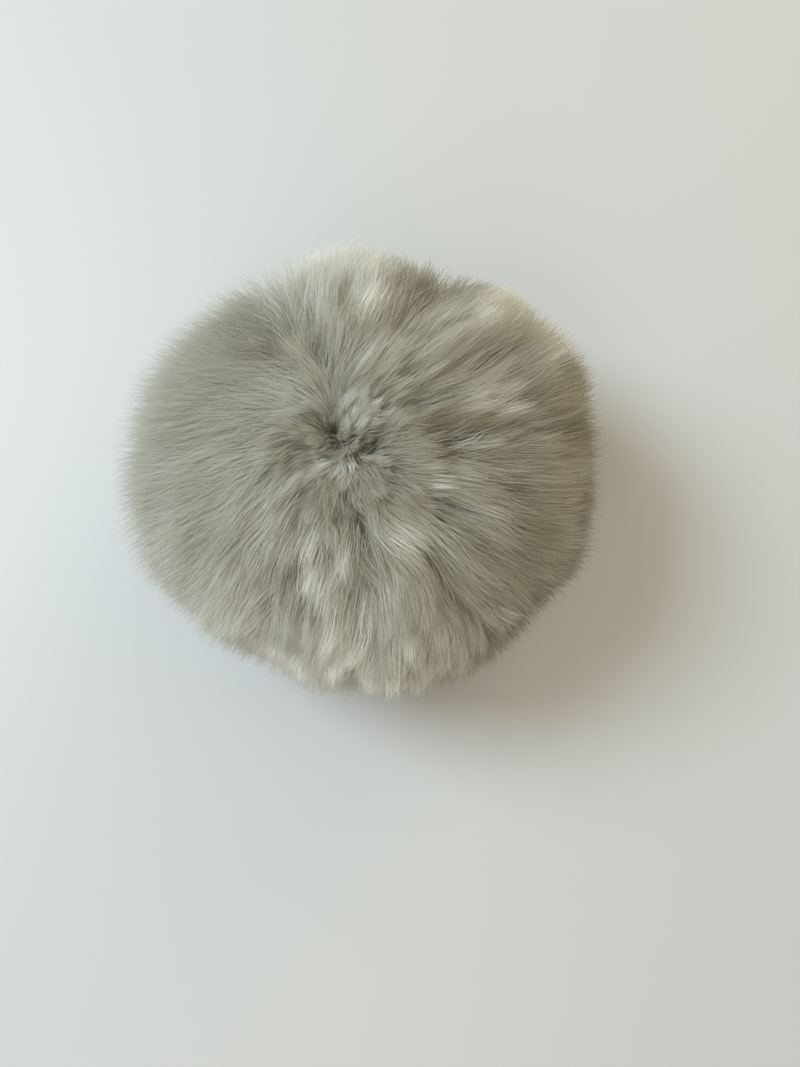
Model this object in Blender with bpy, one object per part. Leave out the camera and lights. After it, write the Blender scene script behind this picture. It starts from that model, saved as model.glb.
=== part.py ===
"""A fluffy fur pom pom, lying on its underside.

The ball is one closed solid that reaches as far as its hair does. It starts as a UV sphere whose
pole stands at the whorl, the gathered point that the hair bursts from. Each point of the sphere
is then set at the distance that the hair reaches in its direction: the ball's swollen body, the
dimple at the whorl, the partings between the locks, and the lobes that the locks make at the rim.
The ball is then stretched to its overall size and cut flat at z = 0, where it lies.

The point (0, 0, 0) is the middle of the box's underside. Units are metres, and +Z is up.

A bearing is an angle round the whorl, in degrees, from +X towards +Y. A polar angle is the angle
away from the whorl, as seen from the middle of the ball.
"""

import math

import bmesh
import bpy
from mathutils import Vector

COLLECTION_NAME = "pom_pom"

# Overall size of the ball, over the ends of its hair.
WIDTH = 0.0850
DEPTH = 0.0805
HEIGHT = 0.0590

# The body is a ball with slightly full shoulders, cut off where it lies on its underside.
FULLNESS = 2.25
BELLY_SHARE = 0.465  # height of the widest level, as a share of HEIGHT
SUNK_SHARE = 0.035  # how much of the round underside the flat spot takes off, by HEIGHT

# The whorl stands a little off the top of the ball.
WHORL_LEAN_X = -0.050
WHORL_LEAN_Y = -0.125

# The dimple at the whorl.
DIMPLE_DEPTH = 0.0036
DIMPLE_WIDTH_DEG = 13.0

# Rings and meridians of the sphere that the ball starts from.
MERIDIANS = 80
RINGS = 36

# Partings: furrows that run away from the whorl, where the hair falls to either side.
# bearing_deg, half_width_mm, depth_mm, from_polar_deg, to_polar_deg
PARTINGS = (
    (109.0, 6.0, 3.0, 16.0, 56.0),
    (65.0, 9.0, 3.0, 46.0, 62.0),
    (35.0, 5.0, 1.5, 24.0, 58.0),
    (5.0, 4.5, 1.4, 30.0, 66.0),
    (-33.0, 5.0, 1.6, 22.0, 62.0),
    (-54.0, 5.5, 2.0, 46.0, 64.0),
    (-84.0, 4.5, 1.4, 20.0, 52.0),
    (-116.0, 4.5, 1.2, 26.0, 70.0),
    (-138.0, 6.5, 1.2, 60.0, 84.0),
    (-166.0, 5.0, 1.4, 18.0, 54.0),
)
PARTING_END_DEG = 14.0  # how far a furrow takes to run out at either end
MEAN_RADIUS_MM = 38.0

# Lobes: where the hair reaches further than the round body, or less far, at the rim.
# bearing_deg, half_width_deg, rise_mm, polar_deg, half_height_deg
LOBES = (
    (92.0, 26.0, 1.2, 74.0, 46.0),
    (73.0, 18.0, -2.2, 84.0, 40.0),
    (21.0, 38.0, 1.6, 78.0, 44.0),
    (-24.0, 32.0, 1.0, 84.0, 44.0),
    (-41.0, 22.0, -1.4, 84.0, 44.0),
    (-64.0, 22.0, 1.4, 84.0, 40.0),
    (-84.0, 48.0, 2.0, 84.0, 48.0),
    (-158.0, 44.0, 1.0, 84.0, 48.0),
    (130.0, 44.0, -2.2, 80.0, 60.0),
    (172.0, 30.0, 1.2, 84.0, 44.0),
    (-120.0, 22.0, -1.4, 84.0, 44.0),
)

# Locks: small waves round the whorl, which fade out at the whorl and underneath.
# waves_round, height_mm, twist_turns: how far the wave turns from the whorl to the far side
LOCKS = (
    (9, 0.18, 0.10),
    (14, 0.20, -0.12),
    (19, 0.18, 0.06),
)
LOCKS_FROM_DEG = 30.0
LOCKS_TO_DEG = 120.0
LOCKS_END_DEG = 24.0

FUR_COLOUR = (0.42, 0.41, 0.34, 1.0)
FUR_ROUGHNESS = 0.9

MM = 0.001
SMALLEST_EDGE = 0.00005


def clear_scene():
    """Remove what the file holds, so that the script can be run again."""
    for item in list(bpy.data.objects):
        bpy.data.objects.remove(item)


def fur_material():
    """A plain matt material in the fur's greige."""
    material = bpy.data.materials.new("fur_greige")
    material.use_nodes = True
    shader = material.node_tree.nodes["Principled BSDF"]
    shader.inputs["Base Color"].default_value = FUR_COLOUR
    shader.inputs["Roughness"].default_value = FUR_ROUGHNESS
    shader.inputs["Metallic"].default_value = 0.0
    material.diffuse_color = FUR_COLOUR
    return material


def bump(offset, half_width):
    """A smooth hump: 1 in the middle, and 0 from half_width outwards."""
    share = min(abs(offset) / half_width, 1.0)
    return 0.5 + 0.5 * math.cos(math.pi * share)


def fade(value, start, end, margin):
    """1 between start and end, falling smoothly to 0 over margin outside them."""
    outside = max(start - value, value - end, 0.0)
    return bump(outside, margin)


def turn_between(bearing, other):
    """The angle in degrees from one bearing to another, from -180 to 180."""
    return (bearing - other + 180.0) % 360.0 - 180.0


def body_reach(direction):
    """How far the round body reaches from the middle of the ball."""
    belly = BELLY_SHARE * HEIGHT
    below = belly + SUNK_SHARE * HEIGHT
    upright = HEIGHT - belly if direction.z > 0.0 else below
    total = abs(direction.x / (0.5 * WIDTH)) ** FULLNESS
    total += abs(direction.y / (0.5 * DEPTH)) ** FULLNESS
    total += abs(direction.z / upright) ** FULLNESS
    return total ** (-1.0 / FULLNESS)


def dimple(polar):
    """How far the whorl is drawn in."""
    return DIMPLE_DEPTH * math.exp(-((polar / DIMPLE_WIDTH_DEG) ** 2))


def partings(bearing, polar):
    """How far the furrows cut in here."""
    cut = 0.0
    round_whorl = MEAN_RADIUS_MM * math.sin(math.radians(polar))
    for at, half_width_mm, depth_mm, start, end in PARTINGS:
        across_mm = math.radians(turn_between(bearing, at)) * round_whorl
        across = bump(across_mm, half_width_mm)
        cut += depth_mm * MM * across * fade(polar, start, end, PARTING_END_DEG)
    return cut


def lobes(bearing, polar):
    """How far the rim's lobes stand out here."""
    rise = 0.0
    for at, half_width, rise_mm, level, half_height in LOBES:
        across = bump(turn_between(bearing, at), half_width)
        rise += rise_mm * MM * across * bump(polar - level, half_height)
    return rise


def locks(bearing, polar):
    """The small waves of the locks here."""
    height = 0.0
    strength = fade(polar, LOCKS_FROM_DEG, LOCKS_TO_DEG, LOCKS_END_DEG)
    for waves, height_mm, twist_turns in LOCKS:
        phase = math.radians(bearing) * waves + 2.0 * math.pi * twist_turns * waves * polar / 180.0
        height += height_mm * MM * math.sin(phase)
    return strength * height


def reach(direction, bearing, polar):
    """How far the hair reaches from the middle of the ball in this direction."""
    distance = body_reach(direction)
    distance -= dimple(polar)
    distance -= partings(bearing, polar)
    distance += lobes(bearing, polar)
    distance += locks(bearing, polar)
    return distance


def fit_to_size(mesh):
    """Stretch the ball to its overall size, with z = 0 at the level that it lies on."""
    floor = -BELLY_SHARE * HEIGHT
    spans = []
    for axis, size in ((0, WIDTH), (1, DEPTH)):
        places = [vertex.co[axis] for vertex in mesh.verts]
        spans.append((min(places), size / (max(places) - min(places)), 0.5 * size))
    tall = HEIGHT / (max(vertex.co.z for vertex in mesh.verts) - floor)
    for vertex in mesh.verts:
        for axis, (lowest, stretch, half) in enumerate(spans):
            vertex.co[axis] = (vertex.co[axis] - lowest) * stretch - half
        vertex.co.z = (vertex.co.z - floor) * tall


def press_flat(mesh):
    """Cut the ball off at z = 0, where it lies on its underside, and close it with one flat face."""
    everything = mesh.verts[:] + mesh.edges[:] + mesh.faces[:]
    bmesh.ops.bisect_plane(
        mesh, geom=everything, plane_co=(0.0, 0.0, 0.0), plane_no=(0.0, 0.0, -1.0), clear_outer=True
    )
    bmesh.ops.remove_doubles(mesh, verts=mesh.verts[:], dist=SMALLEST_EDGE)
    rim = [edge for edge in mesh.edges if edge.is_boundary]
    spot = bmesh.ops.holes_fill(mesh, edges=rim, sides=0)["faces"]
    bmesh.ops.recalc_face_normals(mesh, faces=mesh.faces[:])
    for edge in rim:
        edge.smooth = False
    for face in spot:
        face.smooth = False


def pom_pom():
    """The fur ball: a sphere with its pole at the whorl, drawn out to the reach of its hair."""
    mesh = bmesh.new()
    bmesh.ops.create_uvsphere(mesh, u_segments=MERIDIANS, v_segments=RINGS, radius=1.0)
    whorl = Vector((WHORL_LEAN_X, WHORL_LEAN_Y, 1.0)).normalized()
    upright_to_whorl = Vector((0.0, 0.0, 1.0)).rotation_difference(whorl)
    for vertex in mesh.verts:
        bearing = math.degrees(math.atan2(vertex.co.y, vertex.co.x))
        polar = math.degrees(vertex.co.angle(Vector((0.0, 0.0, 1.0))))
        direction = upright_to_whorl @ vertex.co.normalized()
        vertex.co = direction * reach(direction, bearing, polar)
    fit_to_size(mesh)
    press_flat(mesh)
    data = bpy.data.meshes.new("pom_pom")
    mesh.to_mesh(data)
    mesh.free()
    data.shade_smooth()
    data.materials.append(fur_material())
    return bpy.data.objects.new("pom_pom", data)


def main():
    clear_scene()
    collection = bpy.data.collections.new(COLLECTION_NAME)
    bpy.context.scene.collection.children.link(collection)
    collection.objects.link(pom_pom())


main()
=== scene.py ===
"""The looks of the fur pom pom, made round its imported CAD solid.

The solid gives the ball's reach: how far the hair comes from the ball's middle in each direction.
Hair is then grown as thin tapered blades. Each blade starts inside the ball, follows the lie of
the fur away from the whorl, and ends near the reach. Hairs gather into wisps, and wisps into
locks, so that the fur parts and shades as real fur does.

A bearing is an angle round the whorl, in degrees, from +X towards +Y. A polar angle is the angle
away from the whorl, as seen from the middle of the ball. Units are metres unless a name says mm.
A share is a part of a whole: of the reach, of a hair's length, or of what a kind of hair has.
"""

import math

import bpy
import numpy as np
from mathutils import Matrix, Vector
from mathutils.bvhtree import BVHTree


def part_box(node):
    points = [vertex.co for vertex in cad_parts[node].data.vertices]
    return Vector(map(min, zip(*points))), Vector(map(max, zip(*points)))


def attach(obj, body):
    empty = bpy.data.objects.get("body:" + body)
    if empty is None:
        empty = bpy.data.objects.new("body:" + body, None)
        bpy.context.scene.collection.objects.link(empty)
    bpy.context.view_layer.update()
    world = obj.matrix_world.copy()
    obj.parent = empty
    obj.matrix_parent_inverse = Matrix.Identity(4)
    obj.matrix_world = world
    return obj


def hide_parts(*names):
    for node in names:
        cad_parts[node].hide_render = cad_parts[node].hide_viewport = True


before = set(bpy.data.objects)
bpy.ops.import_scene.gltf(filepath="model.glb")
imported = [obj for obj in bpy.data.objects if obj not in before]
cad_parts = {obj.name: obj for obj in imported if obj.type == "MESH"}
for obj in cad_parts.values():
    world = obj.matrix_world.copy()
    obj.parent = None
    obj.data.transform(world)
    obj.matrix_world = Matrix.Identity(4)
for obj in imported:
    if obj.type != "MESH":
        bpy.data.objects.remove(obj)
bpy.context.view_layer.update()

NODE = "pom_pom"
MM = 0.001
TINY = 1e-9

# The ball, from the frame.
LOW, HIGH = (np.array(corner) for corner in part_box(NODE))
SIZE = HIGH - LOW
BELLY_SHARE = 0.465  # height of the widest level, as a share of the ball's height
MIDDLE = np.array((0.5 * (LOW[0] + HIGH[0]), 0.5 * (LOW[1] + HIGH[1]), LOW[2] + BELLY_SHARE * SIZE[2]))
RADIUS = 0.25 * (SIZE[0] + SIZE[1])
FLOOR = LOW[2]

# The whorl's axis leans a little off the vertical, as in the solid.
WHORL = np.array((-0.050, -0.125, 1.0))

# The tint is partly the fur's own tone and partly painted light and shade, lighter or darker for how
# light falls on each place.
# The lie of the fur at places all over the ball. Between them it is blended.
# towards_deg is the bearing that the hair points to. stride says how far it leans over, and
# gather how much it draws together into wisps, both as shares of what the kind of hair has.
# tint runs from DARKEST to 1, the palest.
# bearing_deg, polar_deg, towards_deg, stride, gather, tint
LIE = (
    # To the right of the whorl.
    (-5.0, 12.0, 18.0, 0.8, 1.2, 0.45),
    (0.0, 28.0, 2.0, 1.0, 1.4, 0.38),
    (-30.0, 30.0, -22.0, 1.1, 1.0, 0.70),
    (-15.0, 30.0, -2.0, 1.1, 1.0, 0.55),
    (-45.0, 35.0, -42.0, 1.1, 1.0, 0.45),
    (27.0, 40.0, 36.0, 1.1, 1.4, 0.24),
    (10.0, 50.0, 8.0, 1.0, 1.1, 0.50),
    (-30.0, 55.0, -22.0, 0.8, 0.7, 0.66),
    (-15.0, 55.0, -6.0, 0.8, 0.7, 0.45),
    (-45.0, 60.0, -38.0, 0.8, 0.8, 0.20),
    (0.0, 60.0, 18.0, 0.7, 0.8, 0.30),
    (24.0, 60.0, 36.0, 0.7, 0.8, 0.40),
    # Painted light: the top-right lobe is palest, though the window's light doesn't reach it.
    (38.0, 62.0, 52.0, 0.7, 0.9, 1.00),
    (34.0, 72.0, 46.0, 0.6, 0.7, 1.00),
    # Painted shadow along the right rim, which lies in the ball's own shadow.
    (20.0, 77.0, 28.0, 0.6, 0.7, 0.00),
    (-25.0, 78.0, -22.0, 0.6, 0.7, 0.05),
    (5.0, 78.0, 14.0, 0.6, 0.7, -0.30),
    # Behind it.
    (90.0, 12.0, 40.0, 0.8, 1.0, 0.50),
    (60.0, 16.0, 40.0, 0.9, 1.1, 0.75),
    (108.0, 24.0, 108.0, 0.6, 0.8, 0.10),
    (50.0, 30.0, 50.0, 1.1, 1.3, 0.38),
    (90.0, 30.0, 52.0, 0.9, 0.9, 0.75),
    (76.0, 38.0, 56.0, 1.0, 1.0, 0.72),
    # Painted shade beside the parting at the upper left.
    (121.0, 40.0, 166.0, 0.5, 0.2, -0.10),
    (104.0, 46.0, 84.0, 0.8, 0.8, 0.80),
    # Painted shade in the notch between the top and top-right lobes.
    (67.0, 50.0, 62.0, 0.8, 1.0, 0.20),
    (92.0, 50.0, 68.0, 0.8, 0.8, 0.95),
    (50.0, 52.0, 58.0, 0.9, 1.0, 1.00),
    # The notch's painted shade again, further out.
    (65.0, 59.0, 60.0, 0.7, 0.9, 0.18),
    (121.0, 62.0, 168.0, 0.5, 0.1, 0.42),
    (82.0, 66.0, 74.0, 0.7, 0.7, 0.92),
    (100.0, 68.0, 92.0, 0.6, 0.6, 0.85),
    (88.0, 84.0, 80.0, 0.6, 0.6, 0.50),
    # To its left.
    # Low tints here are painted shade: the left lobe's hair points towards the window and shows less
    # of its light.
    (150.0, 12.0, -162.0, 0.7, 0.8, 0.42),
    (180.0, 13.0, -146.0, 0.8, 0.9, 0.32),
    (135.0, 28.0, -176.0, 0.5, 0.2, 0.10),
    (-165.0, 30.0, -134.0, 0.8, 0.8, 0.26),
    (180.0, 30.0, -146.0, 0.7, 0.4, 0.42),
    (150.0, 38.0, -158.0, 0.5, 0.15, 0.10),
    (165.0, 42.0, -146.0, 0.5, 0.2, 0.34),
    (-150.0, 46.0, -138.0, 0.7, 0.6, 0.88),
    (135.0, 56.0, 182.0, 0.4, 0.0, 0.06),
    (-165.0, 60.0, -146.0, 0.5, 0.2, 0.50),
    (180.0, 60.0, -152.0, 0.4, 0.1, 0.40),
    (150.0, 64.0, 174.0, 0.4, 0.0, 0.38),
    # In front of it.
    (-120.0, 12.0, -114.0, 0.8, 1.0, 0.40),
    (-60.0, 14.0, -58.0, 0.9, 1.2, 0.10),
    (-135.0, 30.0, -128.0, 1.0, 1.0, 0.20),
    (-120.0, 30.0, -118.0, 1.0, 1.1, 0.72),
    (-105.0, 30.0, -100.0, 1.1, 1.2, 0.55),
    (-90.0, 30.0, -92.0, 1.1, 1.3, 0.55),
    (-75.0, 38.0, -108.0, 1.0, 1.5, 0.85),
    (-66.0, 50.0, -112.0, 1.0, 1.7, 0.85),
    (-135.0, 56.0, -142.0, 0.7, 0.7, 0.62),
    (-120.0, 56.0, -114.0, 0.7, 1.1, 0.95),
    (-56.0, 56.0, -58.0, 1.0, 1.5, 0.60),
    # Painted light: the bottom is palest, though it faces away from the window.
    (-105.0, 60.0, -106.0, 0.7, 1.2, 1.00),
    (-90.0, 60.0, -116.0, 0.7, 1.3, 1.00),
    (-75.0, 66.0, -112.0, 0.7, 1.4, 0.85),
    (-122.0, 72.0, -122.0, 0.6, 0.3, 0.65),
    (-105.0, 75.0, -110.0, 0.7, 0.4, 0.85),
    (-80.0, 75.0, -100.0, 0.7, 0.4, 0.80),
    (-130.0, 82.0, -136.0, 0.6, 0.2, 0.60),
    (-95.0, 82.0, -112.0, 0.7, 0.3, 0.65),
    (-60.0, 82.0, -80.0, 0.6, 0.6, 0.20),
)
LIE_BLEND_DEG = 13.0  # how far each place's lie carries
ELSEWHERE = (0.6, 0.6, 0.5)  # stride, gather and tint far from any place
ELSEWHERE_WEIGHT = 0.02  # how much that counts beside the places

# Smaller places with a lie and a tint of their own, laid over LIE: the short tufts at the crown,
# and single pale or dark locks further out. Their tints are partly the fur's own tone and partly
# painted light and shade; those below 0 are painted shade in the crown's pits and in gaps between
# tufts.
# bearing_deg, polar_deg, towards_deg, stride, gather, tint
LOCAL = (
    # The tufts at the crown, from the whorl outwards.
    (0.0, 0.0, 20.0, 0.12, 0.8, 0.75),
    (170.0, 2.0, -115.0, 0.25, 1.0, 0.80),
    (-35.0, 3.5, 10.0, 0.20, 0.9, 0.50),
    (-110.0, 4.5, -80.0, 0.30, 1.0, 0.50),
    (14.0, 4.5, 18.0, 0.40, 1.0, -0.20),
    (-170.0, 5.0, -130.0, 0.40, 1.0, 0.40),
    (62.0, 6.5, 36.0, 0.50, 1.1, 0.62),
    (120.0, 6.5, 28.0, 0.40, 1.0, 0.50),
    (-140.0, 7.0, -134.0, 0.50, 0.9, 0.65),
    (-50.0, 7.0, -40.0, 0.40, 1.1, 0.00),
    (-95.0, 8.0, -94.0, 0.50, 0.9, 0.20),
    (150.0, 8.0, -150.0, 0.40, 0.9, -0.30),
    (-120.0, 9.0, -116.0, 0.60, 0.9, -0.30),
    (-108.0, 9.0, -106.0, 0.60, 0.9, 0.00),
    (31.0, 9.0, 32.0, 0.60, 1.1, 0.30),
    (117.0, 9.0, 25.0, 0.55, 1.1, 0.60),
    (-132.0, 10.0, -126.0, 0.60, 0.9, 0.15),
    (-75.0, 10.0, -74.0, 0.60, 1.0, 0.30),
    (-12.0, 10.0, 5.0, 0.50, 1.1, 1.00),
    (-40.0, 11.0, -36.0, 0.70, 1.2, -0.20),
    (0.0, 11.0, 2.0, 0.80, 1.2, 0.85),
    (62.0, 12.0, 42.0, 0.70, 1.1, 0.70),
    (152.0, 12.0, -164.0, 0.50, 1.0, 0.35),
    (173.0, 12.0, -150.0, 0.60, 1.0, -0.20),
    (40.0, 12.5, 40.0, 0.70, 1.1, -0.15),
    (-120.0, 13.0, -116.0, 0.70, 0.9, -0.30),
    (28.0, 13.0, 32.0, 0.80, 1.1, -0.10),
    (121.0, 13.0, 160.0, 0.30, 0.9, 0.50),
    (-134.0, 14.0, -128.0, 0.70, 0.8, 0.90),
    (-8.0, 14.0, -4.0, 0.80, 1.2, -0.15),
    (2.0, 14.0, 4.0, 0.90, 1.3, -0.20),
    (104.0, 14.0, 30.0, 0.70, 1.1, 0.30),
    # Further out, to the right of the whorl.
    (-38.0, 15.0, -34.0, 0.80, 1.2, 0.15),
    (-12.0, 16.0, -8.0, 0.80, 1.2, 0.10),
    (-24.0, 17.0, -18.0, 0.80, 1.2, 0.95),
    (8.0, 17.0, 9.0, 0.90, 1.4, -0.20),
    (25.0, 17.0, 27.0, 0.80, 1.2, -0.10),
    (36.0, 17.0, 38.0, 0.80, 1.2, -0.15),
    (-32.0, 19.0, -28.0, 0.90, 1.3, 1.00),
    (31.0, 20.0, 34.0, 0.80, 1.2, -0.30),
    (41.0, 23.0, 42.0, 0.90, 1.3, -0.30),
    (20.0, 24.0, 22.0, 0.90, 1.3, 0.25),
    (-38.0, 26.0, -34.0, 0.90, 1.2, 0.60),
    (3.0, 27.0, 6.0, 0.90, 1.2, 0.05),
    (13.0, 29.0, 14.0, 1.00, 1.3, 1.00),
    (16.0, 30.0, 18.0, 1.00, 1.2, 1.00),
    (-22.0, 31.0, -16.0, 1.00, 1.1, 0.30),
    (-7.0, 31.0, -2.0, 1.00, 1.1, 0.65),
    (-42.0, 34.0, -40.0, 1.00, 1.1, 0.20),
    (19.0, 35.0, 22.0, 1.00, 1.3, 0.85),
    (8.0, 37.0, 8.0, 0.90, 1.3, -0.30),
    (17.0, 40.0, 20.0, 0.90, 1.1, 0.95),
    (-27.0, 41.0, -22.0, 1.00, 1.0, 0.00),
    (24.0, 45.0, 26.0, 0.90, 1.0, 0.20),
    (9.0, 53.0, 9.0, 0.80, 0.9, 0.55),
    # Painted shadow at the right rim.
    (18.0, 60.0, 20.0, 0.70, 0.8, 0.10),
    # Behind it.
    (88.0, 16.0, 38.0, 0.80, 1.1, 0.05),
    (93.0, 18.0, 52.0, 0.80, 1.0, -0.30),
    (130.0, 18.0, -170.0, 0.30, 0.8, 0.25),
    (54.0, 19.0, 50.0, 0.90, 1.1, 1.00),
    (78.0, 19.0, 48.0, 0.80, 1.0, 0.20),
    (98.0, 22.0, 38.0, 0.80, 1.1, 0.50),
    (106.0, 22.0, 96.0, 0.60, 0.9, 0.10),
    (112.0, 22.0, 75.0, 0.50, 0.9, 0.50),
    (124.0, 24.0, 176.0, 0.30, 0.8, 0.30),
    (82.0, 26.0, 52.0, 0.90, 0.9, 0.00),
    (47.0, 33.0, 50.0, 1.00, 1.1, 0.20),
    (99.0, 33.0, 86.0, 0.70, 0.9, 0.00),
    (120.0, 36.0, 172.0, 0.50, 0.3, -0.15),
    (70.0, 40.0, 62.0, 0.90, 1.0, 0.20),
    (92.0, 40.0, 72.0, 0.80, 0.9, 1.00),
    (99.0, 41.0, 84.0, 0.80, 0.9, 0.00),
    (62.0, 42.0, 58.0, 0.90, 1.0, 0.20),
    (52.0, 43.0, 56.0, 0.90, 1.0, 1.00),
    (108.0, 44.0, 96.0, 0.70, 0.8, 0.60),
    (46.0, 48.0, 54.0, 0.90, 1.0, 1.00),
    (71.0, 48.0, 64.0, 0.80, 1.0, 0.15),
    (99.0, 49.0, 84.0, 0.80, 0.9, 0.50),
    # Painted shade in the notch between the top and top-right lobes.
    (62.0, 50.0, 60.0, 0.80, 1.0, 0.00),
    (63.0, 58.0, 60.0, 0.70, 0.9, 0.00),
    (50.0, 60.0, 58.0, 0.80, 0.9, 0.95),
    # To its left.
    (-141.0, 17.0, -134.0, 0.70, 0.8, 0.45),
    (-175.0, 35.0, -150.0, 0.60, 0.3, 0.28),
    (-160.0, 42.0, -144.0, 0.60, 0.4, 0.30),
    # In front of it.
    (-73.0, 16.0, -74.0, 0.80, 1.1, 0.90),
    (-106.0, 18.0, -104.0, 0.80, 1.0, 0.60),
    (-95.0, 18.0, -94.0, 0.80, 1.1, 1.00),
    (-88.0, 21.0, -90.0, 0.80, 1.1, 0.00),
    (-103.0, 23.0, -102.0, 1.00, 1.1, 0.85),
    (-128.0, 28.0, -122.0, 0.90, 0.9, 0.20),
    (-104.0, 28.0, -102.0, 1.00, 1.2, 0.62),
    (-82.0, 29.0, -88.0, 1.00, 1.3, 0.95),
    (-57.0, 29.0, -56.0, 1.00, 1.3, 0.72),
    (-57.0, 39.0, -56.0, 1.00, 1.4, 0.50),
    (-73.0, 42.0, -84.0, 1.00, 1.4, 0.70),
    (-110.0, 44.0, -108.0, 0.90, 1.3, 0.55),
    (-54.0, 52.0, -50.0, 0.90, 1.2, 0.80),
    (-96.0, 54.0, -108.0, 0.80, 1.5, 1.00),
)
LOCAL_BLEND_DEG = 4.5  # how far each such place's lie carries
LOCAL_STRENGTH = 10.0  # how much more such a place counts than one of LIE

# The hair also swings a little to either side, in slow waves over the ball.
SWING_DEG = 6.0
SWING_ACROSS_MM = 14.0

# Pits, where the hair falls away on all sides and the fur is open. No hair has its root nearer
# than bare_mm. A pit whose bare_mm is 0 is only a hollow, and the hair doesn't turn away from it.
# bearing_deg, polar_deg, half_width_mm, depth_mm, bare_mm
PITS = (
    (117.0, 16.5, 0.8, 2.0, 0.25),
    (128.0, 9.5, 1.4, 3.6, 0.50),
    (15.0, 6.5, 1.6, 4.4, 0.70),
    (68.0, 48.0, 1.4, 1.0, 0.15),
    (66.0, 55.0, 1.5, 1.4, 0.15),
    (65.0, 62.0, 1.5, 1.5, 0.15),
    (35.0, 28.0, 1.5, 1.6, 0.20),
    (9.0, 28.0, 1.2, 1.4, 0.20),
    (-53.0, 47.0, 1.4, 1.4, 0.15),
    (170.0, 13.0, 1.4, 0.8, 0.0),
)
PIT_PUSH = 1.2  # how strongly the hair turns away from a pit, against its own lie of 1
PIT_PUSH_WIDTHS = 1.8  # how far that carries, in half widths of the pit
PIT_HOLLOW_WIDTHS = 2.0  # how far its hollow goes, in half widths of the pit

# Partings, where the hair falls to either side. No hair has its root nearer than bare_mm, and
# the fur is darker on the side that has the greater bearing, by the row's last number: painted
# shade in the step where the hair of one side overhangs the other.
# from_bearing_deg, from_polar_deg, to_bearing_deg, to_polar_deg, spread_deg, push_deg, bare_mm,
# painted_shade_step
PARTINGS = (
    (100.0, 22.0, 116.0, 40.0, 9.0, 62.0, 0.20, 0.15),
    (116.0, 44.0, 111.0, 68.0, 8.0, 55.0, 0.15, 0.30),
    (66.0, 52.0, 66.0, 90.0, 10.0, 20.0, 0.20, 0.20),
    (36.0, 20.0, 36.0, 36.0, 5.0, 14.0, 0.20, 0.0),
    (8.0, 36.0, 8.0, 50.0, 5.0, 16.0, 0.15, 0.0),
    (-37.0, 16.0, -37.0, 44.0, 6.0, 14.0, 0.0, 0.0),
    (-54.0, 42.0, -54.0, 66.0, 7.0, 24.0, 0.12, 0.0),
    (-84.0, 28.0, -86.0, 44.0, 4.0, 12.0, 0.0, 0.0),
    (-116.0, 26.0, -116.0, 70.0, 5.0, 10.0, 0.0, 0.0),
    (-138.0, 62.0, -138.0, 108.0, 8.0, 14.0, 0.0, 0.0),
    (-166.0, 18.0, -166.0, 54.0, 5.0, 12.0, 0.0, 0.0),
)
PARTING_END_DEG = 10.0  # how far a parting takes to run out at either end
PARTING_EDGE_DEG = 1.0  # how far the hair takes to go from one side to the other

# Kinds of hair. root and tip are shares of the ball's reach, steps are shares of the hair's
# length, and within_deg says how far from the whorl its roots go. gather says how much wisps
# are drawn to their lock, and hairs to their wisp.
# The down's tint is a little lower than the coat's: painted shade under the coat.
DOWN = {
    "locks": 520, "wisps": 7, "hairs": 28, "steps": (0.0, 0.55, 1.0), "within_deg": 180.0,
    "root": 0.78, "tip": 0.93, "stride_deg": 12.0, "width_mm": 0.11, "gather": (0.2, 0.2),
    "tint": -0.1, "seed": 11,
}
COAT = {
    "locks": 520, "wisps": 7, "hairs": 60, "steps": (0.0, 0.40, 0.72, 1.0), "within_deg": 180.0,
    "root": 0.80, "tip": 0.976, "stride_deg": 18.0, "width_mm": 0.060, "gather": (0.25, 0.45),
    "tint": 0.0, "seed": 23,
}
TUFTS = {
    "locks": 36, "wisps": 6, "hairs": 50, "steps": (0.0, 0.40, 0.72, 1.0), "within_deg": 15.0,
    "root": 0.84, "tip": 0.980, "stride_deg": 12.0, "width_mm": 0.055, "gather": (0.3, 0.5),
    "tint": 0.0, "seed": 31,
}
# The coat's pieces, each with the bearing of its middle.
COAT_QUARTERS = (("coat_right", 0.0), ("coat_back", 90.0), ("coat_left", 180.0), ("coat_front", -90.0))
QUARTER_HALF_DEG = 45.0

# Roots lie in an even spiral round the whorl, and each is moved a little at random.
GOLDEN_ANGLE_DEG = 137.50776
ROOT_JITTER = 0.35  # as a share of the gap between locks
UNDERSIDE_FROM_DEG = 118.0
UNDERSIDE_SHARE = 0.4  # the share of the locks that grow on the underside

# What each lock, wisp and hair adds of its own, in fur that gathers into tufts and in smooth fur.
# level, spread, turn_deg, stride_share, tip_share, tint
TUFTED = (
    ("lock", 0.0, 6.0, 0.10, 0.008, 0.05),
    ("wisp", 0.40, 9.0, 0.20, 0.018, 0.16),
    ("hair", 0.18, 4.0, 0.20, 0.024, 0.02),
)
SMOOTH = (
    ("lock", 0.0, 4.0, 0.10, 0.002, 0.02),
    ("wisp", 0.45, 6.0, 0.14, 0.004, 0.02),
    ("hair", 0.55, 18.0, 0.30, 0.062, 0.01),
)
TOUSLED = 1.6  # how much more the hair turns this way and that at the whorl
TOUSLED_TO_DEG = 30.0
STRAYS = 0.03  # the share of hairs that turn away from their wisp and reach further
STRAY_TURN_DEG = 22.0
STRAY_TIP_SHARE = 0.012
# Shares of the ball's reach: how far a hair's root lies from its kind's, the least way from its
# root to its tip, and the furthest that its tip comes.
ROOT_SPREAD_SHARE = 0.03
SHORTEST_SHARE = 0.04
FURTHEST_TIP_SHARE = 1.08

# A hair's path: it leans over more and more, rises less and less, and gathers towards its tip.
LEAN_POWER = 1.25
RISE_POWER = 1.6
GATHER_POWER = 1.3
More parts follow.
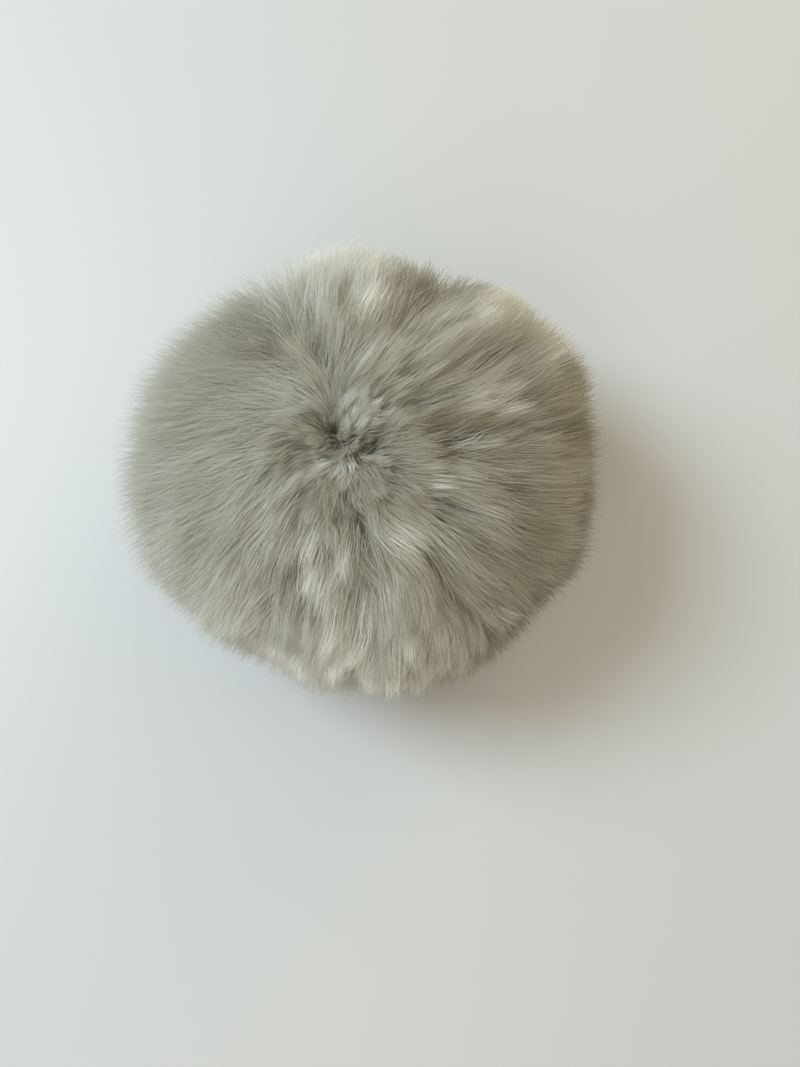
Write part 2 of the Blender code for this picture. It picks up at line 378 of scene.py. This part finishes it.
# Hair that would go through the floor lies a little above it and is pushed outwards.
FLOOR_GAP_MM = (0.1, 0.9)
FLOOR_PUSH = 0.5  # how far out, as a share of how much too low it was

# A blade's shape. In smooth fur it is thinner, and its normals follow the ball more.
ROLL = 0.22  # how far it turns about its own length, in radians
WIDTH_SPREAD = 0.2  # how much the blades differ in width
TAPER = (1.15, 0.5)  # how its width changes from root to tip, though both ends are points
SMOOTH_THINNER = (0.2, 0.6)  # the share of its width that it loses in smooth fur, root and tip
NORMAL_OUTWARDS = 0.5  # how much of the ball's normal is added to the blade's own
NORMAL_OUTWARDS_SMOOTH = 9.0  # how much more in smooth fur
NORMAL_ROUND = 0.9  # how much the normals turn to the blade's edges, which rounds it
SMOOTH_EVENNESS = 0.9  # how much of the change from root to tip smooth fur leaves out

# The hairs' map, which runs from root to tip and from dark to pale.
MAP_EDGE = 0.02  # left free round the map
MAP_HALF_WIDTH = 0.004  # of a hair on the map

# Colours of the fur, in linear red, green and blue. A hair's colour is the product of the two.
# The darker roots are partly the fur's own colour and partly painted shade deep in the fur.
ROOT_TO_TIP = (
    (0.0, 0.475, 0.435, 0.350),
    (0.35, 0.705, 0.69, 0.615),
    (0.7, 0.84, 0.835, 0.775),
    (1.0, 0.94, 0.95, 0.90),
)
# Tints below 0 give DARK_TO_PALE's darkest colours, which are painted shade where the fur lies in deep
# shadow.
DARKEST = -0.3  # the tint at the start of DARK_TO_PALE
DARK_TO_PALE = (
    (0.0, 0.300, 0.265, 0.190),
    (0.231, 0.412, 0.383, 0.312),
    (0.615, 0.592, 0.570, 0.520),
    (1.0, 1.0, 1.0, 1.0),
)
ROOT_ROUGHNESS = 0.85
TIP_ROUGHNESS = 0.6
SPECULAR = 0.25
SHEEN = 0.15
SHEEN_ROUGHNESS = 0.5
GLOW_THROUGH = 0.5  # the share of light that comes out on a hair's other side

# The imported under-fur, a closed body inside the hair.
BODY_STEP_DEG = 4.0
BODY_SHARE = 0.80  # of the ball's reach
BODY_SWELL_SHARE = 0.010
BODY_SWELL_ACROSS_MM = 5.0
BODY_GAP_MM = 1.5  # how far it stays above the floor
# The under-fur's dark root colour is partly painted shade deep in the fur.
BODY_ALONG = 0.05  # it has the colour that hair has this far up from its root
BODY_TINT = 0.4
BODY_TINT_SWING = 0.2
BODY_TINT_ACROSS_MM = 2.0
MOTTLE_SCALE = 900.0
MOTTLE_DETAIL = 3.0
MOTTLES = ((0.3, 0.75, 0.74, 0.72), (0.7, 1.0, 1.0, 1.0))
RELIEF_STRENGTH = 0.6
RELIEF_MM = 0.3

# Seeds of the waves. The kinds of hair have their own.
SWING_SEED = 5
BODY_SWELL_SEED = 3
BODY_TINT_SEED = 4

# The floor, the lamps and the room.
FLOOR_RADIUS = 0.7
FLOOR_CORNERS = 96
FLOOR_COLOUR = (0.354, 0.354, 0.347, 1.0)
FLOOR_ROUGHNESS = 0.6
# name, place, size, power, colour
LAMPS = (
    ("window", (-0.423, 0.154, 0.536), 0.30, 6.9, (0.72, 0.87, 1.0)),
    ("front", (-0.154, -0.423, 0.536), 0.35, 1.3, (0.92, 0.96, 1.0)),
    ("glow", (0.46, 0.18, 0.495), 0.50, 0.8, (1.0, 0.80, 0.40)),
    ("back", (0.30, 0.45, 0.35), 0.30, 0.8, (1.0, 0.94, 0.84)),
)
ROOM_COLOUR = (1.0, 0.89, 0.68, 1.0)
ROOM_STRENGTH = 0.68

# The camera.
ELEVATION_DEG = 80.0
LENS_MM = 27.0
SENSOR_MM = 36.0
ASPECT = 0.7498  # the picture's width over its height
DISTANCE_WIDTHS = 1.744  # from the ball's middle, in widths of the ball
# The ball's middle is seen left of the picture's middle and above it, by these shares of the
# picture's width and height.
ASIDE_SHARE = -0.045
ABOVE_SHARE = 0.0545
CLIP_START = 0.01


def unit(vectors):
    """These vectors at length 1."""
    return vectors / np.linalg.norm(vectors, axis=-1, keepdims=True)


AXIS = unit(WHORL)
ACROSS = unit(np.array((1.0, 0.0, 0.0)) - AXIS[0] * AXIS)
ALONG = np.cross(AXIS, ACROSS)


def towards(bearing_deg, polar_deg):
    """Unit vectors at these angles round the whorl."""
    bearing, polar = np.radians(bearing_deg), np.radians(polar_deg)
    sideways = np.multiply.outer(np.cos(bearing), ACROSS) + np.multiply.outer(np.sin(bearing), ALONG)
    return np.sin(polar)[..., None] * sideways + np.cos(polar)[..., None] * AXIS


def round_whorl(directions):
    """The bearing and polar angle of each direction, in degrees."""
    bearing = np.degrees(np.arctan2(directions @ ALONG, directions @ ACROSS))
    polar = np.degrees(np.arccos(np.clip(directions @ AXIS, -1.0, 1.0)))
    return bearing, polar


def tangents(directions):
    """Two unit vectors along the ball's surface: away from the whorl, and round it."""
    sideways = unit(np.cross(AXIS, directions) + TINY)
    return np.cross(sideways, directions), sideways


def turned(degrees):
    """An angle brought between -180 and 180 degrees."""
    return (degrees + 180.0) % 360.0 - 180.0


def hump(offset, half_width):
    """1 in the middle, and 0 from half_width outwards."""
    return 0.5 + 0.5 * np.cos(np.pi * np.minimum(np.abs(offset) / half_width, 1.0))


def fade(value, start, end, margin):
    """1 between start and end, and 0 from margin outside them."""
    return hump(np.maximum(np.maximum(start - value, value - end), 0.0), margin)


def waves(directions, across_mm, seed, count=12):
    """Smooth noise over the ball, mostly between -1 and 1, with humps about across_mm wide."""
    random = np.random.default_rng(seed)
    pulls = unit(random.normal(size=(count, 3))) * (math.pi * RADIUS / (across_mm * MM))
    starts = random.uniform(0.0, 2.0 * math.pi, count)
    return np.sin(directions @ pulls.T + starts).sum(-1) / math.sqrt(count)


class Reach:
    """How far the CAD solid comes from MIDDLE, read on a grid of angles round the whorl."""

    STEP_DEG = 2.0

    def __init__(self, node):
        mesh = node.data
        tree = BVHTree.FromPolygons([v.co for v in mesh.vertices], [p.vertices for p in mesh.polygons])
        bearings = np.arange(-180.0, 180.0 + self.STEP_DEG, self.STEP_DEG)
        polars = np.arange(0.0, 180.0 + self.STEP_DEG, self.STEP_DEG)
        rays = towards(*np.meshgrid(bearings, polars))
        middle = Vector(MIDDLE)
        found = [tree.ray_cast(middle, Vector(ray))[3] for ray in rays.reshape(-1, 3)]
        self.grid = np.array(found, float).reshape(rays.shape[:2])

    def __call__(self, directions):
        """The reach in these directions, blended between the four nearest on the grid."""
        bearing, polar = round_whorl(directions)
        x, y = (bearing + 180.0) / self.STEP_DEG, polar / self.STEP_DEG
        column = np.minimum(x.astype(int), self.grid.shape[1] - 2)
        row = np.minimum(y.astype(int), self.grid.shape[0] - 2)
        x, y = x - column, y - row
        near = self.grid[row, column] * (1.0 - x) + self.grid[row, column + 1] * x
        far = self.grid[row + 1, column] * (1.0 - x) + self.grid[row + 1, column + 1] * x
        return near * (1.0 - y) + far * y


class Places:
    """A table of places on the ball whose lie is blended between them."""

    def __init__(self, rows, blend_deg):
        table = np.array(rows)
        self.at = towards(table[:, 0], table[:, 1])
        self.bearing = np.radians(table[:, 0])
        self.heading = np.radians(table[:, 2])
        self.shares = table[:, 3:]
        self.sharpness = 1.0 / (1.0 - math.cos(math.radians(blend_deg)))

    def weights(self, directions):
        """How much each place counts here before the blend."""
        return np.exp(self.sharpness * (directions @ self.at.T - 1.0))


reach = Reach(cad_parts[NODE])
broad = Places(LIE, LIE_BLEND_DEG)
local = Places(LOCAL, LOCAL_BLEND_DEG)


def blended(directions):
    """How much each place of LIE, each place of LOCAL and ELSEWHERE count here, 1 in all."""
    near = broad.weights(directions)
    own = LOCAL_STRENGTH * local.weights(directions)
    total = near.sum(-1) + own.sum(-1) + ELSEWHERE_WEIGHT
    return near / total[..., None], own / total[..., None], ELSEWHERE_WEIGHT / total


def from_partings(directions):
    """For each parting: how far each direction lies off its line in degrees, how much the parting
    counts there, its share of the push with the side as its sign, and the rest of the row."""
    bearing, polar = round_whorl(directions)
    for first, start, last, end, spread, push, bare_mm, painted_shade_step in PARTINGS:
        at = first + (last - first) * np.clip((polar - start) / (end - start), 0.0, 1.0)
        off = turned(bearing - at) * np.sin(np.radians(polar))
        share = fade(polar, start, end, PARTING_END_DEG)
        side = share * np.tanh(off / PARTING_EDGE_DEG) * np.exp(-np.abs(off) / spread)
        yield off, share, side, push, bare_mm, painted_shade_step


def from_pits(directions):
    """For each pit: the way from it to each direction, its length, and the rest of its row, in
    metres."""
    for bearing, polar, half_width_mm, depth_mm, bare_mm in PITS:
        at = towards(np.array(bearing), np.array(polar))
        way = directions - at
        length = np.linalg.norm(way, axis=-1) * RADIUS
        yield way, length, half_width_mm * MM, depth_mm * MM, bare_mm * MM


def lie(directions, roots):
    """How far the hair turns here from running straight away from the whorl, in degrees.

    A place of LIE hands on how far its hair turns from there, and a place of LOCAL its heading.
    """
    bearing, _ = round_whorl(directions)
    near, own, rest = blended(directions)
    turns = broad.heading - broad.bearing
    own_turns = local.heading - np.radians(bearing)[..., None]
    across = near @ np.sin(turns) + (own * np.sin(own_turns)).sum(-1)
    away = near @ np.cos(turns) + (own * np.cos(own_turns)).sum(-1) + rest
    turn = np.degrees(np.arctan2(across, away))
    turn = turn + SWING_DEG * waves(directions, SWING_ACROSS_MM, SWING_SEED)
    for _, _, side, push, _, _ in from_partings(directions):
        turn = turn + push * side
    outwards, sideways = tangents(directions)
    along, aside = np.cos(np.radians(turn)), np.sin(np.radians(turn))
    for way, length, half_width, _, bare_width in from_pits(roots):
        if bare_width:
            pull = PIT_PUSH * np.exp(-((length / (PIT_PUSH_WIDTHS * half_width)) ** 2))
            way = unit(way)
            along = along + pull * (way * outwards).sum(-1)
            aside = aside + pull * (way * sideways).sum(-1)
    return np.degrees(np.arctan2(aside, along))


def character(directions):
    """How far the hair leans over here, how much it gathers, and its tint, which is partly the fur's
    own tone and partly painted light and shade.
    """
    near, own, rest = blended(directions)
    shares = near @ broad.shares + own @ local.shares + rest[..., None] * np.array(ELSEWHERE)
    tint = shares[..., 2]
    for _, _, side, _, _, painted_shade_step in from_partings(directions):
        tint = tint - painted_shade_step * side
    return shares[..., 0], shares[..., 1], tint


def open_fur(directions):
    """How much less far the hair reaches here than the solid does, for the pits."""
    less = np.zeros(directions.shape[:-1])
    for _, length, half_width, depth, _ in from_pits(directions):
        less = less + depth * hump(length, PIT_HOLLOW_WIDTHS * half_width)
    return less


def bare(directions):
    """Whether no hair has its root here."""
    none = np.zeros(directions.shape[:-1], bool)
    for off, share, _, _, bare_mm, _ in from_partings(directions):
        none |= np.abs(np.radians(off)) * RADIUS < bare_mm * MM * share
    for _, length, _, _, bare_width in from_pits(directions):
        none |= length < bare_width
    return none


def evenness(gather):
    """How smooth the fur is where it gathers this much: 0 in tufts, and 1 in smooth fur."""
    return np.clip(1.0 - gather, 0.0, 1.0)


def scattered(count, within_deg, random):
    """About evenly spaced directions round the whorl, and the gap between them."""
    place = (np.arange(count) + 0.5) / count
    share = 0.5 * (1.0 - math.cos(math.radians(within_deg)))
    polar = np.degrees(np.arccos(1.0 - 2.0 * share * place))
    bearing = np.arange(count) * GOLDEN_ANGLE_DEG % 360.0
    gap = math.sqrt(4.0 * math.pi * share / count)
    directions = towards(bearing, polar)
    directions = unit(directions + random.normal(scale=ROOT_JITTER * gap, size=directions.shape))
    kept = (polar < UNDERSIDE_FROM_DEG) | (random.random(count) < UNDERSIDE_SHARE)
    return directions[kept], gap


def grown(roots, turn, stride_deg, root_share, tip_share, steps):
    """Points along hairs that grow from these directions: (hair, step, 3)."""
    here = roots
    path = [here]
    for start, end in zip(steps[:-1], steps[1:]):
        away, sideways = tangents(here)
        angle = np.radians(lie(here, roots) + turn)[:, None]
        heading = np.cos(angle) * away + np.sin(angle) * sideways
        stride = np.radians(stride_deg * (end**LEAN_POWER - start**LEAN_POWER))[:, None]
        here = unit(here * np.cos(stride) + heading * np.sin(stride))
        path.append(here)
    path = np.stack(path, 1)
    rise = 1.0 - (1.0 - np.array(steps)) ** RISE_POWER
    share = root_share[:, None] + (tip_share - root_share)[:, None] * rise
    return MIDDLE + path * ((reach(path) - open_fur(path)) * share)[..., None]


def gathered(children, parents, strength, steps):
    """Children drawn towards their parents' paths, more so towards the tips."""
    pull = strength[:, None] * np.array(steps) ** GATHER_POWER
    return children + (parents - children) * pull[..., None]


def on_floor(points, random):
    """Points that would go through the floor lie just above it instead, and are pushed outwards."""
    gap = random.uniform(*FLOOR_GAP_MM, points.shape[0])[:, None] * MM
    low = np.maximum(FLOOR + gap - points[..., 2], 0.0)
    outwards = points[..., :2] - MIDDLE[:2]
    outwards = outwards / np.maximum(np.linalg.norm(outwards, axis=-1, keepdims=True), TINY)
    points[..., :2] += FLOOR_PUSH * low[..., None] * outwards
    points[..., 2] += low
    return points


def hair_paths(kind, random):
    """Every hair's path for one kind of hair, with its tint, its gather and its root's direction.

    Locks are grown first, then the wisps of each lock, and then the hairs of each wisp. Each takes
    over what its parent has and adds something of its own.
    """
    steps = kind["steps"]
    roots, gap = scattered(kind["locks"], kind["within_deg"], random)
    leans, gathers, _ = character(roots)
    own = {
        "turn": np.zeros(len(roots)),
        "stride": kind["stride_deg"] * leans,
        "tip": np.full(len(roots), kind["tip"]),
        "tint": np.zeros(len(roots)),
        "gather": gathers,
    }
    paths = None
    copies = (1, kind["wisps"], kind["hairs"])
    pulls = (0.0, *kind["gather"])
    for copy, pull, tufted, smooth in zip(copies, pulls, TUFTED, SMOOTH):
        level = tufted[0]
        roots = np.repeat(roots, copy, axis=0)
        own = {name: np.repeat(values, copy) for name, values in own.items()}
        count = len(roots)
        even = evenness(own["gather"])
        spread, turn, stride, tip, tint = (
            a + (b - a) * even for a, b in zip(tufted[1:], smooth[1:])
        )
        roots = unit(roots + random.normal(size=roots.shape) * spread[:, None] * gap)
        turn = turn * (1.0 + TOUSLED * hump(round_whorl(roots)[1], TOUSLED_TO_DEG))
        stray = (random.random(count) < STRAYS) * (level == "hair")
        own["turn"] += random.normal(size=count) * np.where(stray, STRAY_TURN_DEG, turn)
        own["stride"] *= np.exp(random.normal(size=count) * stride)
        own["tip"] += random.normal(size=count) * tip + stray * STRAY_TIP_SHARE
        own["tint"] += random.normal(size=count) * tint
        root_share = kind["root"] + random.uniform(-ROOT_SPREAD_SHARE, ROOT_SPREAD_SHARE, count)
        tip_share = np.clip(own["tip"], root_share + SHORTEST_SHARE, FURTHEST_TIP_SHARE)
        children = grown(roots, own["turn"], own["stride"], root_share, tip_share, steps)
        if level == "wisp":
            own["tint"] += character(roots)[2]
        if paths is not None:
            children = gathered(children, np.repeat(paths, copy, axis=0), pull * own["gather"], steps)
        paths = children
    kept = ~bare(roots)
    paths = on_floor(paths[kept], random)
    return paths, own["tint"][kept] + kind["tint"], own["gather"][kept], roots[kept]


def faces_of_blades(count, points):
    """The faces of blades that are pointed at both ends: each blade's corners, one face after
    another, and the length of every face."""
    corners = 2 * points - 2
    first = np.arange(count)[:, None] * corners
    faces = [first + np.array((0, 2, 1))]
    for step in range(points - 3):
        faces.append(first + np.array((1, 2, 4, 3)) + 2 * step)
    faces.append(first + np.array((corners - 3, corners - 2, corners - 1)))
    return np.concatenate(faces, 1), np.tile([face.shape[1] for face in faces], count)


def blades(name, paths, tint, gather, width_mm, random):
    """One mesh of thin blades along these paths, pointed at both ends and rounded by their normals.

    In smooth fur the normals follow the ball more, so that the hairs stand out less.
    """
    count, points = paths.shape[:2]
    heading = unit(np.gradient(paths, axis=1))
    outwards = unit(paths - MIDDLE)
    flat = unit(np.cross(heading, outwards))
    roll = random.normal(scale=ROLL, size=count)[:, None, None]
    side = np.cos(roll) * flat + np.sin(roll) * np.cross(flat, heading)
    face = np.cross(side, heading)
    face = face * np.sign((face * outwards).sum(-1, keepdims=True))
    width = width_mm * MM * np.exp(random.normal(scale=WIDTH_SPREAD, size=count))[:, None]
    even = evenness(gather)[:, None, None]
    thinner = 1.0 - even * np.linspace(*SMOOTH_THINNER, points)[:, None]
    half = 0.5 * width[..., None] * (np.linspace(*TAPER, points)[:, None] * thinner)
    inner = slice(1, points - 1)

    def around(middles, shifts):
        """A value at each blade's two ends, and two to either side at each step between them."""
        pairs = np.stack((middles - shifts, middles + shifts), 2)[:, inner].reshape(count, -1, 3)
        return np.concatenate((middles[:, :1], pairs, middles[:, -1:]), 1)

    places = around(paths, side * half)
    face = face + (NORMAL_OUTWARDS + NORMAL_OUTWARDS_SMOOTH * even) * outwards
    normals = unit(around(face, NORMAL_ROUND * side))
    corners = places.shape[1]
    loops, lengths = faces_of_blades(count, points)
    starts = np.concatenate(((0,), np.cumsum(lengths)[:-1]))
    mesh = bpy.data.meshes.new(name)
    mesh.vertices.add(count * corners)
    mesh.vertices.foreach_set("co", places.astype(np.float32).ravel())
    mesh.loops.add(loops.size)
    mesh.loops.foreach_set("vertex_index", loops.astype(np.int32).ravel())
    mesh.polygons.add(len(lengths))
    mesh.polygons.foreach_set("loop_start", starts.astype(np.int32))
    mesh.update(calc_edges=True)
    mesh.shade_smooth()
    share = np.linspace(0.0, 1.0, points)
    share = np.concatenate((share[:1], np.repeat(share[inner], 2), share[-1:]))
    share = share + (1.0 - share) * SMOOTH_EVENNESS * even[:, :, 0]
    tint = shade_place(tint)
    write(mesh, "along", share.ravel())
    write(mesh, "tint", np.repeat(tint, corners))
    edge = np.concatenate(((0.0,), np.tile((-1.0, 1.0), points - 2), (0.0,)))
    lay_out(mesh, loops, share, tint[:, None] + MAP_HALF_WIDTH * edge)
    mesh.normals_split_custom_set_from_vertices(normals.reshape(-1, 3))
    return mesh


def shade_place(tint):
    """Where each tint lies along DARK_TO_PALE."""
    return np.clip((tint - DARKEST) / (1.0 - DARKEST), 0.0, 1.0)


def lay_out(mesh, loops, along, across):
    """A map for the mesh, with the hairs' length along it and their tint across it."""
    places = np.stack((along + 0.0 * across, across), -1)
    places = MAP_EDGE + (1.0 - 2.0 * MAP_EDGE) * places
    layer = mesh.uv_layers.new(name="OFBake")
    layer.data.foreach_set("uv", places.reshape(-1, 2)[loops.ravel()].astype(np.float32).ravel())


def write(mesh, name, values):
    """Keep one number for each point of the mesh."""
    mesh.attributes.new(name, "FLOAT", "POINT").data.foreach_set("value", values.astype(np.float32))


def ramp(nodes, stops):
    """A colour ramp with these stops: place, and linear red, green and blue."""
    node = nodes.new("ShaderNodeValToRGB")
    elements = node.color_ramp.elements
    while len(elements) < len(stops):
        elements.new(0.5)
    for element, (place, *colour) in zip(elements, stops):
        element.position = place
        element.color = (*colour, 1.0)
    return node


def attribute(nodes, name):
    """The number that each point of the mesh keeps under this name."""
    node = nodes.new("ShaderNodeAttribute")
    node.attribute_name = name
    return node.outputs["Fac"]


def multiplied(nodes, links, first, second):
    """The product of two colours."""
    both = nodes.new("ShaderNodeMix")
    both.data_type = "RGBA"
    both.blend_type = "MULTIPLY"
    both.inputs["Factor"].default_value = 1.0
    colours = [socket for socket in both.inputs if socket.type == "RGBA"]
    links.new(first, colours[0])
    links.new(second, colours[1])
    return next(socket for socket in both.outputs if socket.type == "RGBA")


def fur_material(name, glow_through):
    """Fur: dark at the roots and pale at the tips, partly as painted shade deep in the fur, with each
    hair of its own tint, which is partly painted light and shade.

    Some of the light that falls on a hair comes out on its other side.
    """
    material = bpy.data.materials.new(name)
    material.use_nodes = True
    nodes, links = material.node_tree.nodes, material.node_tree.links
    shader = nodes["Principled BSDF"]
    along = attribute(nodes, "along")
    length = ramp(nodes, ROOT_TO_TIP)
    shade = ramp(nodes, DARK_TO_PALE)
    links.new(along, length.inputs["Fac"])
    links.new(attribute(nodes, "tint"), shade.inputs["Fac"])
    colour = multiplied(nodes, links, length.outputs["Color"], shade.outputs["Color"])
    dry = nodes.new("ShaderNodeMapRange")
    dry.inputs["To Min"].default_value = ROOT_ROUGHNESS
    dry.inputs["To Max"].default_value = TIP_ROUGHNESS
    links.new(along, dry.inputs["Value"])
    links.new(colour, shader.inputs["Base Color"])
    links.new(dry.outputs["Result"], shader.inputs["Roughness"])
    shader.inputs["Specular IOR Level"].default_value = SPECULAR
    shader.inputs["Sheen Weight"].default_value = SHEEN
    shader.inputs["Sheen Roughness"].default_value = SHEEN_ROUGHNESS
    through = nodes.new("ShaderNodeBsdfTranslucent")
    links.new(colour, through.inputs["Color"])
    mixed = nodes.new("ShaderNodeMixShader")
    mixed.inputs["Fac"].default_value = glow_through
    links.new(shader.outputs["BSDF"], mixed.inputs[1])
    links.new(through.outputs["BSDF"], mixed.inputs[2])
    links.new(mixed.outputs["Shader"], nodes["Material Output"].inputs["Surface"])
    return material


def packed_material(name):
    """Packed under-fur: the hair's colours at its roots, which are partly painted shade deep in the
    fur, in fine mottles with some relief.
    """
    material = fur_material(name, 0.0)
    nodes, links = material.node_tree.nodes, material.node_tree.links
    shader = nodes["Principled BSDF"]
    place = nodes.new("ShaderNodeTexCoord")
    mottles = nodes.new("ShaderNodeTexNoise")
    mottles.inputs["Scale"].default_value = MOTTLE_SCALE
    mottles.inputs["Detail"].default_value = MOTTLE_DETAIL
    links.new(place.outputs["Object"], mottles.inputs["Vector"])
    shade = ramp(nodes, MOTTLES)
    links.new(mottles.outputs["Fac"], shade.inputs["Fac"])
    colour = shader.inputs["Base Color"].links[0].from_socket
    mottled = multiplied(nodes, links, colour, shade.outputs["Color"])
    links.new(mottled, shader.inputs["Base Color"])
    relief = nodes.new("ShaderNodeBump")
    relief.inputs["Strength"].default_value = RELIEF_STRENGTH
    relief.inputs["Distance"].default_value = RELIEF_MM * MM
    links.new(mottles.outputs["Fac"], relief.inputs["Height"])
    links.new(relief.outputs["Normal"], shader.inputs["Normal"])
    return material


def piece(mesh, material):
    """A shown piece of the pom pom, which rides with the ball."""
    mesh.materials.append(material)
    made = bpy.data.objects.new(mesh.name, mesh)
    bpy.context.scene.collection.objects.link(made)
    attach(made, "root")
    return made


def faces_of_rings(around, levels):
    """The faces of a ball whose points are its two poles and then its rings, from the whorl down."""
    faces = []
    for level in range(levels - 1):
        for step in range(around):
            a = 2 + level * around + step
            b = 2 + level * around + (step + 1) % around
            faces.append((a, a + around, b + around, b))
    last = (levels - 1) * around
    for step in range(around):
        a, b = 2 + step, 2 + (step + 1) % around
        faces.append((0, a, b))
        faces.append((1, b + last, a + last))
    return faces


def under_fur():
    """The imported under-fur: a closed body inside the hair, which stands for the CAD solid."""
    bearings = np.arange(0.0, 360.0, BODY_STEP_DEG)
    polars = np.arange(BODY_STEP_DEG, 180.0, BODY_STEP_DEG)
    rings = towards(*np.meshgrid(bearings, polars))
    poles = towards(np.zeros(2), np.array((0.0, 180.0)))
    directions = np.concatenate((poles, rings.reshape(-1, 3)))
    share = BODY_SHARE + BODY_SWELL_SHARE * waves(directions, BODY_SWELL_ACROSS_MM, BODY_SWELL_SEED)
    places = MIDDLE + directions * (reach(directions) * share)[:, None]
    places[:, 2] = np.maximum(places[:, 2], FLOOR + BODY_GAP_MM * MM)
    mesh = bpy.data.meshes.new("under_fur")
    mesh.from_pydata([tuple(p) for p in places], [], faces_of_rings(len(bearings), len(polars)))
    mesh.shade_smooth()
    tint = BODY_TINT + BODY_TINT_SWING * waves(directions, BODY_TINT_ACROSS_MM, BODY_TINT_SEED)
    write(mesh, "along", np.full(len(places), BODY_ALONG))
    write(mesh, "tint", shade_place(tint))
    body = piece(mesh, packed_material("under_fur"))
    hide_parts(NODE)


def hair(name, kind):
    """All hair of one kind, as one piece."""
    random = np.random.default_rng(kind["seed"])
    paths, tint, gather, _ = hair_paths(kind, random)
    mesh = blades(name, paths, tint, gather, kind["width_mm"], random)
    piece(mesh, fur_material(name, GLOW_THROUGH))


def coat():
    """The long outer hair, as four pieces round the whorl."""
    material = fur_material("coat", GLOW_THROUGH)
    random = np.random.default_rng(COAT["seed"])
    paths, tint, gather, roots = hair_paths(COAT, random)
    bearing, _ = round_whorl(roots)
    for name, at in COAT_QUARTERS:
        chosen = np.abs(turned(bearing - at)) <= QUARTER_HALF_DEG
        mesh = blades(name, paths[chosen], tint[chosen], gather[chosen], COAT["width_mm"], random)
        piece(mesh, material)


def floor():
    """A plain pale floor."""
    bpy.ops.mesh.primitive_circle_add(
        vertices=FLOOR_CORNERS, radius=FLOOR_RADIUS, fill_type="NGON", location=(0.0, 0.0, FLOOR)
    )
    made = bpy.context.object
    made.name = "floor"
    material = bpy.data.materials.new("floor")
    material.use_nodes = True
    shader = material.node_tree.nodes["Principled BSDF"]
    shader.inputs["Base Color"].default_value = FLOOR_COLOUR
    shader.inputs["Roughness"].default_value = FLOOR_ROUGHNESS
    made.data.materials.append(material)


def lamp(name, place, size, power, colour):
    """A soft square lamp that faces the ball."""
    data = bpy.data.lights.new(name, "AREA")
    data.shape = "SQUARE"
    data.size = size
    data.energy = power
    data.color = colour
    made = bpy.data.objects.new(name, data)
    made.location = place
    made.rotation_euler = (Vector(MIDDLE) - Vector(place)).to_track_quat("-Z", "Y").to_euler()
    bpy.context.scene.collection.objects.link(made)


def lights():
    """A cool window on the left, weak lamps in front, on the right and behind, and a warm room."""
    for row in LAMPS:
        lamp(*row)
    world = bpy.data.worlds.new("room")
    world.use_nodes = True
    room = world.node_tree.nodes["Background"]
    room.inputs["Color"].default_value = ROOM_COLOUR
    room.inputs["Strength"].default_value = ROOM_STRENGTH
    bpy.context.scene.world = world


def camera():
    """A phone's wide lens, close above the ball and a little in front of it."""
    elevation = math.radians(ELEVATION_DEG)
    distance = DISTANCE_WIDTHS * SIZE[0]
    look = Vector((0.0, math.cos(elevation), -math.sin(elevation)))
    up = Vector((0.0, math.sin(elevation), math.cos(elevation)))
    right = Vector((1.0, 0.0, 0.0))
    seen = SENSOR_MM / LENS_MM * distance  # the picture's height, at the ball's middle
    aside = ASIDE_SHARE * seen * ASPECT
    above = ABOVE_SHARE * seen
    data = bpy.data.cameras.new("camera")
    data.lens = LENS_MM
    data.sensor_width = SENSOR_MM
    data.clip_start = CLIP_START
    made = bpy.data.objects.new("camera", data)
    made.location = Vector(MIDDLE) - look * distance - right * aside - up * above
    made.rotation_euler = look.to_track_quat("-Z", "Y").to_euler()
    bpy.context.scene.collection.objects.link(made)
    bpy.context.scene.camera = made


camera()
lights()
floor()
under_fur()
hair("down", DOWN)
coat()
hair("tufts", TUFTS)
bpy.context.scene.view_settings.view_transform = "Standard"
